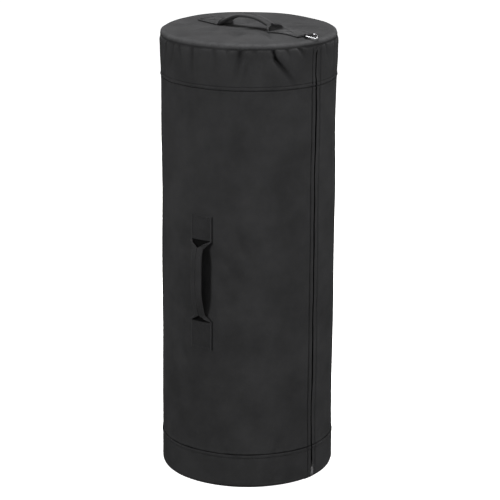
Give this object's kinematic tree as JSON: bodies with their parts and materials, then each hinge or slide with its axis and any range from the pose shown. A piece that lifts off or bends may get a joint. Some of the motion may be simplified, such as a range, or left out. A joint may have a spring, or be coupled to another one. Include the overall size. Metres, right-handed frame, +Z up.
{
  "type": "rope storage bag",
  "caption": "Tall free-standing canvas cylinder bag with a full-height side zipper, webbing handles on the lid and the wall, and a tie ring on the lid.",
  "frame": {"origin": "centre of the flat base, on the surface that the bag stands on", "axes": "+Z up along the bag's axis, -Y out through the zipper, +X to the right of someone who faces the zipper"},
  "size_m": [0.4309, 0.407, 1.0748],
  "materials": {
    "canvas": "matte black heavy plain-weave cotton canvas",
    "binding_tape": "matte woven tape",
    "webbing": "matte woven cotton webbing",
    "zipper_tape": "matte woven tape",
    "zipper_teeth": "moulded, satin",
    "slider_metal": "dull cast metal",
    "ring_steel": "bright plated wire"
  },
  "bodies": {
    "root": {"base_panel": "canvas", "bottom_band": "canvas", "back_panel": "canvas", "top_band": "canvas", "lid_panel": "canvas", "base_seam_binding": "binding_tape", "bottom_band_binding": "binding_tape", "top_band_binding": "binding_tape", "lid_seam_binding": "binding_tape", "zipper_top_stop": "slider_metal", "zipper_bottom_stop": "slider_metal", "top_handle_front_patch": "webbing", "top_handle_back_patch": "webbing", "side_handle_lower_patch": "webbing", "side_handle_upper_patch": "webbing", "ring_tab": "webbing"},
    "left_flap": {"left_front_panel": "canvas", "left_zipper_tape": "zipper_tape", "left_zipper_teeth": "zipper_teeth"},
    "right_flap": {"right_front_panel": "canvas", "right_zipper_tape": "zipper_tape", "right_zipper_teeth": "zipper_teeth"},
    "slider": {"zipper_slider": "slider_metal"},
    "pull": {"zipper_pull": "slider_metal"},
    "ring": {"tie_ring": "ring_steel"},
    "top_grip": {"top_handle_grip": "webbing"},
    "side_grip": {"side_handle_grip": "webbing"}
  },
  "joints": [
    {"name": "left_flap_fold", "type": "hinge", "parent": "root", "child": "left_flap", "pos_m": [-0.1732, -0.1, 0.508], "axis": [0, 0, -1], "range_deg": [0, 35], "deforming": ["left_zipper_tape", "left_zipper_teeth"]},
    {"name": "right_flap_fold", "type": "hinge", "parent": "root", "child": "right_flap", "pos_m": [0.1732, -0.1, 0.508], "axis": [0, 0, 1], "range_deg": [0, 35], "deforming": ["right_zipper_tape", "right_zipper_teeth"]},
    {"name": "slider_travel", "type": "slide", "parent": "root", "child": "slider", "axis": [0, 0, 1], "range_m": [0, 0.95901]},
    {"name": "pull_swing", "type": "hinge", "parent": "slider", "child": "pull", "pos_m": [0, -0.2022, 0.0355], "axis": [-1, 0, 0], "range_deg": [0, 170]},
    {"name": "ring_swing", "type": "hinge", "parent": "root", "child": "ring", "pos_m": [0, -0.178, 1.0456], "axis": [-1, 0, 0], "range_deg": [0, 150]},
    {"name": "top_grip_swing", "type": "hinge", "parent": "root", "child": "top_grip", "pos_m": [0, -0.0035, 1.0473], "axis": [0, 1, 0], "range_deg": [-50, 50], "stiffness_Nm_per_rad": 0.02},
    {"name": "side_grip_swing", "type": "hinge", "parent": "root", "child": "side_grip", "pos_m": [-0.19961, -0.03466, 0.4915], "axis": [0, 0, 1], "range_deg": [-50, 50], "stiffness_Nm_per_rad": 0.02}
  ],
  "couplings": [
    {"joint": "right_flap_fold", "follows": "left_flap_fold", "ratio": 1},
    {"joint": "slider_travel", "follows": "left_flap_fold", "m_per_rad": 1.5699}
  ]
}
